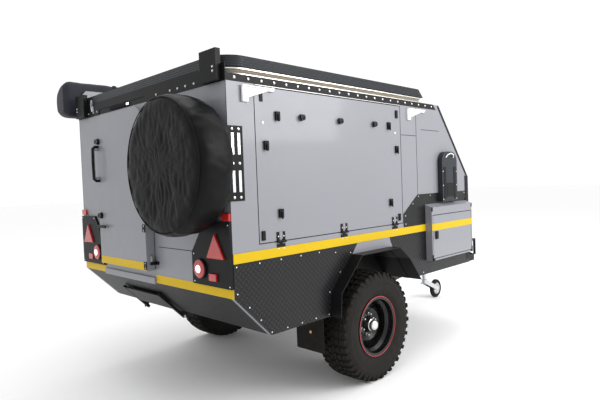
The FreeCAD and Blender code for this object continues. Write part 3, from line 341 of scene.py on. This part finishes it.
# ------------------------------------------------------------------ hardware on hatches and door
for side, sgn in (("right", -1), ("left", 1)):
    b = "hatch_" + side
    lathe_many("knobs_" + side, [((x, sgn * 989, 1877), (0, sgn, 0)) for x in (577, 949, 1336)],
               [(0, 22), (3, 22), (4, 18.5), (9, 19.6), (22, 20.2), (26, 18.5), (28, 12)], "black_steel", b, 20)
    V, F = [], []
    for xl, zl in ((371.0, 1874.0), (1523.0, 1875.0), (372.0, 1290.0), (1523.0, 1294.0), (272.0, 1696.0), (1620.0, 1698.0)):
        y0, y1 = sorted((sgn * 989, sgn * 1004.0))
        add_box(V, F, xl - 18, xl + 18, y0, y1, zl - 27, zl + 27)
        y0, y1 = sorted((sgn * 1004, sgn * 1012.0))
        add_box(V, F, xl - 6, xl + 6, y0, y1, zl - 34, zl + 10)
    obj_from("latches_" + side, V, F, "black_steel", b, 0.003)
    lathe_many("buttons_" + side, [((257, sgn * 989, 1827), (0, sgn, 0)), ((1610, sgn * 989, 1824), (0, sgn, 0))], [(0, 8), (3, 7.5), (4, 4)], "alloy", b, 12)
    boxes("corner_clamps_" + side, [(215, 240, *sorted((sgn * 989, sgn * 999)), 1140, 1196), (1622, 1648, *sorted((sgn * 989, sgn * 999)), 1146, 1200),
                                    (1618, 1644, *sorted((sgn * 989, sgn * 999)), 1940, 2000), (236, 262, *sorted((sgn * 989, sgn * 993)), 1950, 2005)], "black_steel", b, 0.002)
    y0, y1 = sorted((sgn * 993.4, sgn * 1001.8))
    prism("hatch_bracket_" + side, [("y", y0, y1, [(101, 1939), (148, 1939), (148, 1963), (205, 1983), (300, 2013), (345, 2013), (345, 2032), (101, 2032)])], "white_paint", b)
    prism("hatch_bracket_web_" + side, [("y", *sorted((sgn * 1001.8, sgn * 1012)), [(101, 2024), (345, 2024), (345, 2032), (101, 2032)]),
                                         ("y", *sorted((sgn * 1001.8, sgn * 1008)), [(101, 1939), (108, 1939), (108, 2024), (101, 2024)])], "white_paint", b)
    lathe_many("bracket_bolts_" + side, [((124, sgn * 1002, 1956), (0, sgn, 0)), ((124, sgn * 1002, 2006), (0, sgn, 0))], BOLT, "alloy", b, 10)
    V = []
    for xc in (366.0, 960.0, 1570.0):
        for x0, x1 in ((xc - 34.5, xc - 12.8), (xc + 12.8, xc + 34.5)):
            V.append((x0, x1, *sorted((sgn * 989.2, sgn * 993.8)), 1122, 1179))
    boxes("hatch_leaf_covers_" + side, V, "black_steel", b, 0.001)
    knuck = [((xc + o, sgn * 998, 1121), (1, 0, 0)) for xc in (366.0, 960.0, 1570.0) for o in (-34.6, 12.6)]
    lathe_many("hatch_knuckles_" + side, knuck, [(0, 8), (22, 8)], "black_steel", b, 14)
    lathe_many("hinge_bolts_" + side, [((xc + o, sgn * 993.6, 1152), (0, sgn, 0)) for xc in (366.0, 960.0, 1570.0) for o in (-22, 22)], RIVET, "alloy", b, 8)
    lathe_many("hinge_bolts_low_" + side, [((xc + o, sgn * 993.2, 1078), (0, sgn, 0)) for xc in (366.0, 960.0, 1570.0) for o in (-22, 22)], RIVET, "alloy", "root", 8)
    # front wall bracket's folded edges
    prism("wall_bracket_web_" + side, [("y", *sorted((sgn * 1001, sgn * 1012)), [(1780, 2022), (2030, 2022), (2030, 2029), (1780, 2029)])], "white_paint", "root")
    lathe_many("wall_bracket_bolts_" + side, [((1802, sgn * 1001, 1956), (0, sgn, 0)), ((1802, sgn * 1001, 2004), (0, sgn, 0))], BOLT, "alloy", "root", 10)

b = "rear_door"
boxes("door_pull", [(-98, -87, 392, 528, 1190, 1210)], "black_steel", b, 0.003)
tube("door_grab", [(-66, 509, 1790), (-90, 509, 1792), (-108, 509, 1776), (-110, 509, 1665), (-108, 509, 1554), (-90, 509, 1538), (-66, 509, 1540)], 11, "black_steel", b)
lathe_many("door_locks", [((-65, 505, z), (-1, 0, 0)) for z in (1280, 1830)], [(0, 24), (4, 24), (5, 21), (20, 20.6), (26, 17), (27, 10)], "black_steel", b, 20)
lathe_many("door_hinge_bolts", [((-65, -128, z), (-1, 0, 0)) for z in (940, 972, 1190, 1222, 1800, 1832)], BOLT, "alloy", b, 10)
boxes("door_hinge_straps", [(-70, -65, -146, -108, z - 26, z + 26) for z in (956, 1206, 1816)], "black_steel", b, 0.002)

# ------------------------------------------------------------------ lamps
lens = []
for sgn in (-1, 1):
    lathe_many("lamp_bezel_%s" % ("r" if sgn < 0 else "l"), [((-18, sgn * 701, 985), (-1, 0, 0))], [(0, 60), (10, 60), (13, 57), (14, 54.5)], "black_steel", "root", 32)
    lathe_many("lamp_lens_%s" % ("r" if sgn < 0 else "l"), [((-20, sgn * 701, 985), (-1, 0, 0))], [(0, 54), (14, 54), (18, 48), (20.5, 30)], "lamp_red", "root", 32)
    lathe_many("lamp_centre_%s" % ("r" if sgn < 0 else "l"), [((-34, sgn * 701, 985), (-1, 0, 0))], [(0, 24), (7.5, 23), (8.5, 14)], "led", "root", 24)
    prism("triangle_%s" % ("r" if sgn < 0 else "l"), [("x", -31, -17, [(sgn * 775, 1055), (sgn * 941, 1055), (sgn * 858, 1197)])], "lamp_red", "root", 0.003)
    lathe_many("panel_bolts_%s" % ("r" if sgn < 0 else "l"), [((-18, sgn * y, z), (-1, 0, 0)) for y, z in ((760, 1250), (975, 1250), (975, 905), (630, 905), (630, 1070))], RIVET, "alloy", "root", 8)
    boxes("plate_blank_%s" % ("r" if sgn < 0 else "l"), [(-31, -18, *sorted((sgn * 793, sgn * 861)), 924, 966)], "lamp_red", "root", 0.002)

# ------------------------------------------------------------------ road wheels
def ring_lathe(name, cx, cy, cz, prof, mat, body, seg=96, replaces=(), extra=None):
    """Closed profile of (y, r) turned round the y axis at a wheel centre."""
    V, F = [], []
    m = len(prof)
    for k in range(seg):
        t = 2 * PI * k / seg
        for y, r in prof:
            V.append(D(cx + r * math.cos(t), cy + y, cz + r * math.sin(t)))
    for k in range(seg):
        for j in range(m):
            F.append((k * m + j, k * m + (j + 1) % m, ((k + 1) % seg) * m + (j + 1) % m, ((k + 1) % seg) * m + j))
    if extra:
        extra(V, F)
    return obj_from(name, V, F, mat, body, 0.0, True, replaces)


def tread(cx, cy, cz, sgn):
    def go(V, F):
        def block(pts, r0, r1, taper=0.0):
            """pts: (y, angle) corners on the tread."""
            i = len(V); n = len(pts)
            yc = sum(p[0] for p in pts) / n; tc = sum(p[1] for p in pts) / n
            for r, s in ((r0, 1.0), (r1, 0.90)):
                for y, t in pts:
                    yy, tt = yc + (y - yc) * s, tc + (t - tc) * s
                    rr = r - (0 if abs(yy) < 60 else (abs(yy) - 60) ** 2 * 0.0021)
                    V.append(D(cx + rr * math.cos(tt), cy + yy, cz + rr * math.sin(tt)))
            F.append(tuple(range(i, i + n))); F.append(tuple(range(i + n, i + 2 * n)))
            for k in range(n):
                F.append((i + k, i + (k + 1) % n, i + n + (k + 1) % n, i + n + k))
        n = 44
        for k in range(n):
            t = 2 * PI * k / n; w = 2 * PI / n
            block([(-30, t), (-4, t + 0.18 * w), (-4, t + 0.72 * w), (-14, t + 0.86 * w), (-30, t + 0.62 * w)], 387, 400)
            block([(4, t + 0.42 * w), (30, t + 0.52 * w), (30, t + 1.1 * w), (14, t + 1.24 * w), (4, t + 1.0 * w)], 387, 400)
            block([(-72, t + 0.1 * w), (-37, t + 0.3 * w), (-37, t + 0.84 * w), (-58, t + 0.9 * w), (-72, t + 0.72 * w)], 387, 400)
            block([(37, t + 0.1 * w), (72, t - 0.1 * w), (72, t + 0.52 * w), (58, t + 0.72 * w), (37, t + 0.64 * w)], 387, 400)
            long = 128 if k % 2 else 120
            block([(-long, t + 0.22 * w), (-80, t + 0.16 * w), (-80, t + 0.8 * w), (-long, t + 0.72 * w)], 385, 400)
            long = 120 if k % 2 else 128
            block([(80, t + 0.0 * w), (long, t - 0.04 * w), (long, t + 0.5 * w), (80, t + 0.62 * w)], 385, 400)
            # shoulder lugs down the sidewall
            for sg in (-1, 1):
                i = len(V)
                for r, y in ((382, 121), (356, 129.5), (352, 124), (380, 112)):
                    for tt in (t + 0.2 * w, t + (0.72 if k % 2 else 0.56) * w):
                        V.append(D(cx + r * math.cos(tt), cy + sg * y, cz + r * math.sin(tt)))
                F.extend([(i, i + 1, i + 3, i + 2), (i + 2, i + 3, i + 5, i + 4), (i + 4, i + 5, i + 7, i + 6), (i + 6, i + 7, i + 1, i), (i, i + 2, i + 4, i + 6), (i + 1, i + 3, i + 5, i + 7)])
    return go


TY = [(-107.5, 204), (-111, 222), (-115, 232), (-126, 250), (-131, 275), (-132, 300), (-130.5, 322), (-131.5, 326), (-131.5, 331), (-129.5, 336), (-127, 352), (-121, 370), (-108, 384), (-80, 389), (-40, 389.5), (0, 389.5), (40, 389.5), (80, 389), (108, 384), (121, 370), (127, 352), (129.5, 336), (131.5, 331), (131.5, 326), (130.5, 322),
      (132, 300), (131, 275), (126, 250), (115, 232), (111, 222), (107.5, 204), (90, 206), (92, 226), (110, 256), (114, 300), (106, 350), (80, 372), (-80, 372), (-106, 350), (-114, 300), (-110, 256), (-92, 226), (-90, 206)]
for side, sgn in (("right", -1), ("left", 1)):
    cy = sgn * 899.5
    body = "wheel_" + side
    ring_lathe("tyre_tread_" + side, 1277, cy, 400, TY, "tyre_rubber", body, 132, ("tyre_" + side,), tread(1277, cy, 400, sgn))
    out = cy + sgn * 117.5
    circ = [(1277 + 216 * math.cos(2 * PI * k / 96), out, 400 + 216 * math.sin(2 * PI * k / 96)) for k in range(96)]
    tube("rim_red_line_" + side, circ, 2.0, "red_line", body, True)
    hub = cy + sgn * 58
    lathe_many("hub_cap_" + side, [((1277, hub, 400), (0, sgn, 0))], [(0, 44), (4, 44), (6, 40.5), (26, 39), (36, 34), (41, 24), (43, 8)], "alloy", body, 32)
    lugs = [((1277 + 75 * math.cos(2 * PI * k / 6 + .3), cy + sgn * 19, 400 + 75 * math.sin(2 * PI * k / 6 + .3)), (0, sgn, 0)) for k in range(6)]
    lathe_many("lug_nuts_" + side, lugs, [(0, 12), (6, 12), (7, 10), (22, 9.5), (26, 6)], "zinc", body, 6)
    lathe_many("valve_" + side, [((1277 + 150, cy + sgn * 30, 400 - 110), (0.3, sgn, -0.2))], [(0, 5), (24, 5), (25, 4), (38, 4), (39, 2)], "alloy", body, 10)

# ------------------------------------------------------------------ soft goods
def nz(x, y, z, s, seed=0.0):
    return noise.noise(Vector((x * s + seed, y * s - seed * 2, z * s + seed * 3)))


def spare_cover():
    cy, cz = -711.0, 1590.0
    prof = [(0, -268)] + [(10 + 13 * i, -268 - (10 + 13 * i) * 0.0165) for i in range(24)] + [(322, -274), (345, -273), (362, -269), (377, -261), (389, -249), (397, -234), (401, -216),
            (402.5, -196), (403, -175), (402, -152), (401, -128), (399, -104), (395, -82), (388, -62), (378, -46), (364, -34), (345, -27), (318, -24), (280, -22.5), (200, -21), (100, -20.5), (0, -20)]
    seg = 180
    V, F = [], []
    for j, (r, x) in enumerate(prof):
        for k in range(seg):
            t = 2 * PI * k / seg
            yy, zz = r * math.cos(t), r * math.sin(t)
            w = min(1.0, r / 300.0)
            # long folds across the band, soft puckers on the face
            ct, st = math.cos(t), math.sin(t)
            fold = abs(nz(ct * 2.2, st * 2.2, x * 0.006, 1.0, 3.0)) * 10 + abs(nz(ct * 6.5, st * 6.5, x * 0.012, 1.0, 7.0)) * 9
            face = nz(yy, zz, 0, 0.007, 5.0) * 7 + abs(nz(yy * 1.6, zz * 0.6, 3, 0.016, 9.0)) * 9 + abs(nz(yy * 0.7, zz * 1.8, 3, 0.03, 2.0)) * 4
            dr = -fold * min(1.0, max(0.0, (r - 300) / 60.0)) if x < -30 else 0.0
            dx = 0.0
            if x < -262:
                dx = abs(face) * min(1.0, 0.15 + r / 120.0) + 1.0
            # the sag at the bottom is set to zero, so the fabric does not hang slack
            sag = 0.0
            V.append(D(x + dx, cy + (r + dr) * math.cos(t), cz + (r + dr) * math.sin(t) - sag))
    m = len(prof)
    for j in range(m - 1):
        for k in range(seg):
            F.append((j * seg + k, j * seg + (k + 1) % seg, (j + 1) * seg + (k + 1) % seg, (j + 1) * seg + k))
    ob = obj_from("spare_cover", V, F, "cover_vinyl", "root", 0, True, ("spare_wheel",))
    bm = bmesh.new(); bm.from_mesh(ob.data); bmesh.ops.remove_doubles(bm, verts=bm.verts, dist=1e-6); bmesh.ops.recalc_face_normals(bm, faces=bm.faces); bm.to_mesh(ob.data); bm.free()
    for p in ob.data.polygons:
        p.use_smooth = True
    # stitched piping round the face
    pts = [(-262 + 0.8 * nz(math.cos(t), math.sin(t), 0, 3), cy + 379 * math.cos(t), cz + 379 * math.sin(t)) for t in [2 * PI * k / 120 for k in range(120)]]
    tube("cover_piping", pts, 3.0, "cover_vinyl", "root", True)


def awning():
    sec = [(992, 2120), (995, 2090), (1015, 2072), (1060, 2068), (1110, 2070), (1155, 2078), (1184, 2102), (1193, 2150), (1194, 2200), (1190, 2250), (1176, 2292), (1140, 2322), (1095, 2346), (1050, 2364), (1018, 2370), (998, 2350), (993, 2300), (992, 2210)]
    n = len(sec); cyb = 1090.0; czb = 2215.0
    xs = [-108, -106, -98, -84, -62, -30] + [10 + 44 * i for i in range(50)] + [2200, 2225, 2236]
    V, F = [], []
    for xi, x in enumerate(xs):
        end = 1.0
        if x < -60:
            end = 0.72 + 0.28 * math.sin((x + 108) / 48.0 * PI / 2)
        if x > 2180:
            end = 0.8 + 0.2 * math.cos((x - 2180) / 60.0 * PI / 2)
        strap = min((abs(x - s) for s in (330, 830, 1330, 1830)), default=99)
        pinch = 1.0 - 0.05 * math.exp(-(strap / 30.0) ** 2)
        for y, z in sec:
            yy, zz = cyb + (y - cyb) * end * pinch, czb + (z - czb) * end * pinch
            d = abs(nz(x, yy, zz, 0.009, 2.0)) * 9 + abs(nz(x, yy * 2, zz * 2, 0.02, 4.0)) * 5
            dy, dz = yy - cyb, zz - czb
            L = math.hypot(dy, dz) or 1
            V.append(D(x, yy - dy / L * d, zz - dz / L * d))
    for j in range(len(xs) - 1):
        for k in range(n):
            F.append((j * n + k, j * n + (k + 1) % n, (j + 1) * n + (k + 1) % n, (j + 1) * n + k))
    F.append(tuple(range(n))); F.append(tuple((len(xs) - 1) * n + k for k in range(n)))
    ob = obj_from("awning_bag_cloth", V, F, "bag_fabric", "root", 0, True, ("awning_bag",))
    for p in ob.data.polygons:
        p.use_smooth = True
    s = ob.modifiers.new("sub", "SUBSURF"); s.levels = 2; s.render_levels = 2
    for sx in (330, 830, 1330, 1830):
        pts = [(sx, cyb + (y - cyb) * 0.985, czb + (z - czb) * 0.985) for y, z in sec]
        V, F = [], []
        for (x, y, z) in pts:
            V += [D(x - 14, y, z), D(x + 14, y, z)]
        for k in range(n):
            F.append((2 * k, 2 * k + 1, 2 * ((k + 1) % n) + 1, 2 * ((k + 1) % n)))
        st = obj_from("awning_strap_%d" % sx, V, F, "black_steel", "root", 0, True)
        so = st.modifiers.new("solid", "SOLIDIFY"); so.thickness = 0.0022; so.offset = 0


def ring_path(x0, x1, h, rc, n=7):
    pts = []
    for cx, cy, a0 in ((x0 + rc, -h + rc, PI), (x1 - 30, -h + 30, 1.5 * PI), (x1 - 30, h - 30, 0.0), (x0 + rc, h - rc, 0.5 * PI)):
        r = rc if cx < 1000 else 30
        for k in range(n):
            t = a0 + (PI / 2) * k / (n - 1)
            pts.append((cx + r * math.cos(t), cy + r * math.sin(t), math.cos(t), math.sin(t)))
    return pts


def dense(pts, step=35.0):
    out = []
    for i, p in enumerate(pts):
        q = pts[(i + 1) % len(pts)]
        L = math.hypot(q[0] - p[0], q[1] - p[1]); m = max(1, int(L / step))
        for k in range(m):
            f = k / m
            out.append(tuple(a + (b - a) * f for a, b in zip(p, q)))
    return out


def bellows():
    path = dense(ring_path(16, 2050, 953, 140), 30)
    prof = []
    folds = 5
    for i in range(folds * 4 + 1):
        f = i / (folds * 4)
        z = 2092.5 + 42.0 * f
        prof.append((z, 5 * math.cos(f * folds * 2 * PI)))
    V, F = [], []
    n, m = len(path), len(prof)
    for i, (x, y, nx, ny) in enumerate(path):
        for z, o in prof:
            w = nz(x, y, z, 0.02, 1.0) * 3 - 5
            V.append(D(x + nx * (o + w), y + ny * (o + w), z + nz(x, y, 0, 0.01, 8) * 1.0))
    for i in range(n):
        for j in range(m - 1):
            F.append((i * m + j, ((i + 1) % n) * m + j, ((i + 1) % n) * m + j + 1, i * m + j + 1))
    ob = obj_from("canvas_folds", V, F, "canvas", None, 0, True)
    for p in ob.data.polygons:
        p.use_smooth = True
    s = ob.modifiers.new("solid", "SOLIDIFY"); s.thickness = 0.002; s.offset = -1
    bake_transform(ob)
    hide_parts("canvas_bellows")
    for nm, z, bd, h in (("lower", 2101, "root", 953), ("upper", 2133, "roof_lid", 955)):
        pp = dense(ring_path(14, 2054, h, 142), 60)
        V, F = [], []
        for (x, y, nx, ny) in pp:
            for a, c in ((0, -4.5), (5, -4.5), (5, 4.5), (0, 4.5)):
                V.append(D(x + nx * a, y + ny * a, z + c))
        k = len(pp)
        for i in range(k):
            for j in range(4):
                F.append((i * 4 + j, ((i + 1) % k) * 4 + j, ((i + 1) % k) * 4 + (j + 1) % 4, i * 4 + (j + 1) % 4))
        obj_from("canvas_trim_" + nm, V, F, "alloy", bd, 0.001, True)


spare_cover(); awning(); bellows()

# lid: raised ribs on the top and a rolled edge
ribs = []
for k in range(9):
    y = -800 + k * 200
    ribs.append((160, 1960, y - 22, y + 22, 2206, 2211))
boxes("lid_ribs", ribs, "lid_skin", "roof_lid", 0.004)
for side, sgn in (("right", -1), ("left", 1)):
    for i, z in enumerate((2156, 2170, 2184, 2197)):
        tube("lid_edge_%s_%d" % (side, i), [(158, sgn * 963, z), (2040 - (z - 2156) * 1.0, sgn * 963, z)], 2.6, "lid_skin", "roof_lid")

# rear over-centre catches
for y in (-780, 710):
    boxes("catch_plate_%d" % (y + 1000), [(-10, -4, y - 20, y + 20, 2084, 2122)], "zinc", "root", 0.001)
    tube("catch_bail_%d" % (y + 1000), [(-12, y - 13, 2104), (-14, y - 11, 2140), (-12, y - 9, 2168), (-12, y + 9, 2168), (-14, y + 11, 2140), (-12, y + 13, 2104)], 2.6, "zinc", "root")
    lathe_many("catch_pin_%d" % (y + 1000), [((-10, y, 2104), (-1, 0, 0))], [(0, 9), (6, 9), (7, 6)], "zinc", "root", 12)

# ------------------------------------------------------------------ heater, lockers, nose
boxes("heater_trim", [(2262, 2300, -1037, -1034, 1284, 1560), (2434, 2474, -1037, -1034, 1284, 1560), (2310, 2424, -1036.5, -1034, 1300, 1420)], "black_steel", "root", 0.002)
tube("heater_handle", [(2300, -1036, 1640), (2316, -1048, 1664), (2366, -1052, 1676), (2416, -1048, 1664), (2432, -1036, 1640)], 5, "white_paint", "root")
lathe_many("heater_bolts", [((x, -1034, z), (0, -1, 0)) for x in (2252, 2482) for z in (1280, 1400, 1520)], RIVET, "alloy", "root", 8)
for side, sgn in (("right", -1), ("left", 1)):
    o0, o1 = sorted((sgn * 1052, sgn * 1066))
    boxes("locker_latch_" + side, [(2058, 2098, o0, o1, 958, 1024)], "black_steel", "locker_door_" + side, 0.005)
    c0, c1 = sorted((sgn * 1050, sgn * 1054.5))
    boxes("locker_corners_" + side, [(2012, 2052, c0, c1, 778, 800), (2012, 2030, c0, c1, 778, 830), (2682, 2722, c0, c1, 778, 800), (2704, 2722, c0, c1, 778, 830), (2012, 2030, c0, c1, 1190, 1226), (2704, 2722, c0, c1, 1190, 1226)], "black_steel", "root", 0.0015)
    n0, n1 = sorted((sgn * 989, sgn * 995))
    boxes("nose_corner_" + side, [(2722, 2778, n0, n1, 700, 1478)], "black_steel", "root", 0.002)
for side, sgn in (("right", -1), ("left", 1)):
    n0, n1 = sorted((sgn * 989, sgn * 992.5))
    prism("slope_edge_trim_" + side, [("y", n0, n1, [(2277, 2088), (2773, 1480), (2744, 1480), (2254, 2080)])], "black_steel", "root", 0.001)
boxes("nose_slots", [(2700 + 0, 2716, -993.5, -992, 1120 + 60 * k, 1150 + 60 * k) for k in range(3)], "seam", "root", 0.0)
boxes("carrier_slots", [(18, 36, -994.4, -993, 1640, 1760), (62, 80, -994.4, -993, 1640, 1760), (18, 36, -994.4, -993, 1430, 1550), (62, 80, -994.4, -993, 1430, 1550)], "zinc", "root", 0.0)
lathe_many("carrier_bolts", [((x, -993, z), (0, -1, 0)) for x in (26, 72) for z in (1400, 1590, 1782)], BOLT, "alloy", "root", 10)
# drain valve beside the mud flap
lathe_many("drain_body", [((812, -790, 470), (0, 0, -1))], [(0, 14), (30, 14), (32, 18), (48, 18), (50, 10)], "brass", "root", 16)
boxes("drain_lever", [(806, 818, -812, -768, 474, 482)], "blue", "root", 0.002)
tube("drain_pipe", [(812, -790, 572), (812, -790, 468)], 9, "black_steel", "root")
# gas cylinder collars
for sgn in (-1, 1):
    lathe_many("gas_collar_%s" % ("r" if sgn < 0 else "l"), [((2950, sgn * 740, 940), (0, 0, 1))], [(0, 84), (52, 84), (54, 82), (54, 78), (4, 78)], "gas_green", "root", 28)
    tube("gas_strap_%s" % ("r" if sgn < 0 else "l"), [(2950 + 124 * math.cos(2 * PI * k / 40), sgn * 740 + 124 * math.sin(2 * PI * k / 40), 800) for k in range(40)], 4, "black_steel", "root", True)
boxes("tray_bar", [(3080, 3100, -900, 900, 830, 850), (2776, 3100, -900, -880, 830, 850), (2776, 3100, 880, 900, 830, 850), (3080, 3100, -900, -880, 690, 850), (3080, 3100, 880, 900, 690, 850)], "black_steel", "root", 0.003)
# jockey handle grip and spokes
lathe_many("jockey_grip", [((3738, 0, 930), (0, 0, 1))], [(0, 10), (4, 13), (56, 14), (62, 10)], "black_steel", "root", 18)
spk = []
for k in range(5):
    a = 2 * PI * k / 5
    spk.append(((3850 + 18 * math.cos(a), -9.0, 109 + 18 * math.sin(a)), (math.cos(a), 0, math.sin(a))))
lathe_many("jockey_spokes", spk, [(0, 6), (40, 5)], "alloy", "jockey_wheel", 10)
lathe_many("step_bolts", [((280.7, y, 529.7), (0, s, 0)) for y, s in ((-24, -1), (550, 1))], BOLT, "alloy", "root", 10)

# ------------------------------------------------------------------ studio
me = bpy.data.meshes.new("floor"); g = 60
me.from_pydata([(-g, -g, 0), (g, -g, 0), (g, g, 0), (-g, g, 0)], [], [(0, 1, 2, 3)])
fl = bpy.data.objects.new("studio_floor", me); bpy.context.scene.collection.objects.link(fl)
me.materials.append(base_mat("floor_white", (0.93, 0.93, 0.93), rough=0.8, vary=0.0, rough_vary=0.02))
w = bpy.data.worlds.new("studio"); bpy.context.scene.world = w; w.use_nodes = True
w.node_tree.nodes["Background"].inputs[0].default_value = (1, 1, 1, 1)
w.node_tree.nodes["Background"].inputs[1].default_value = 1.04


def area(name, loc, target, size, power):
    li = bpy.data.lights.new(name, "AREA"); li.shape = "RECTANGLE"; li.size, li.size_y = size; li.energy = power
    ob = bpy.data.objects.new(name, li); bpy.context.scene.collection.objects.link(ob)
    ob.location = loc
    ob.rotation_euler = (Vector(target) - Vector(loc)).to_track_quat("-Z", "Y").to_euler()


area("key", (2.5, -6.5, 4.2), (0, -0.5, 1.2), (5, 4), 420)
area("top", (0, 0, 6.0), (0, 0, 0), (7, 5), 160)

cam = bpy.data.cameras.new("camera"); co = bpy.data.objects.new("camera", cam); bpy.context.scene.collection.objects.link(co)
yaw, pitch, roll = math.radians(44.80), math.radians(-1.97), math.radians(-2.14)
f = Vector((math.cos(yaw) * math.cos(pitch), math.sin(yaw) * math.cos(pitch), math.sin(pitch)))
r0 = f.cross(Vector((0, 0, 1))).normalized(); u0 = r0.cross(f)
r = r0 * math.cos(roll) + u0 * math.sin(roll); u = -r0 * math.sin(roll) + u0 * math.cos(roll)
mw = Matrix(((r.x, u.x, -f.x, -1.719 - SX / 1000), (r.y, u.y, -f.y, -3.235 - SY / 1000), (r.z, u.z, -f.z, 1.471), (0, 0, 0, 1)))
co.matrix_world = mw
cam.sensor_width = 36.0; cam.lens = 30.518; cam.clip_end = 200
bpy.context.scene.camera = co
bpy.context.scene.view_settings.view_transform = "Standard"
bpy.context.view_layer.update()
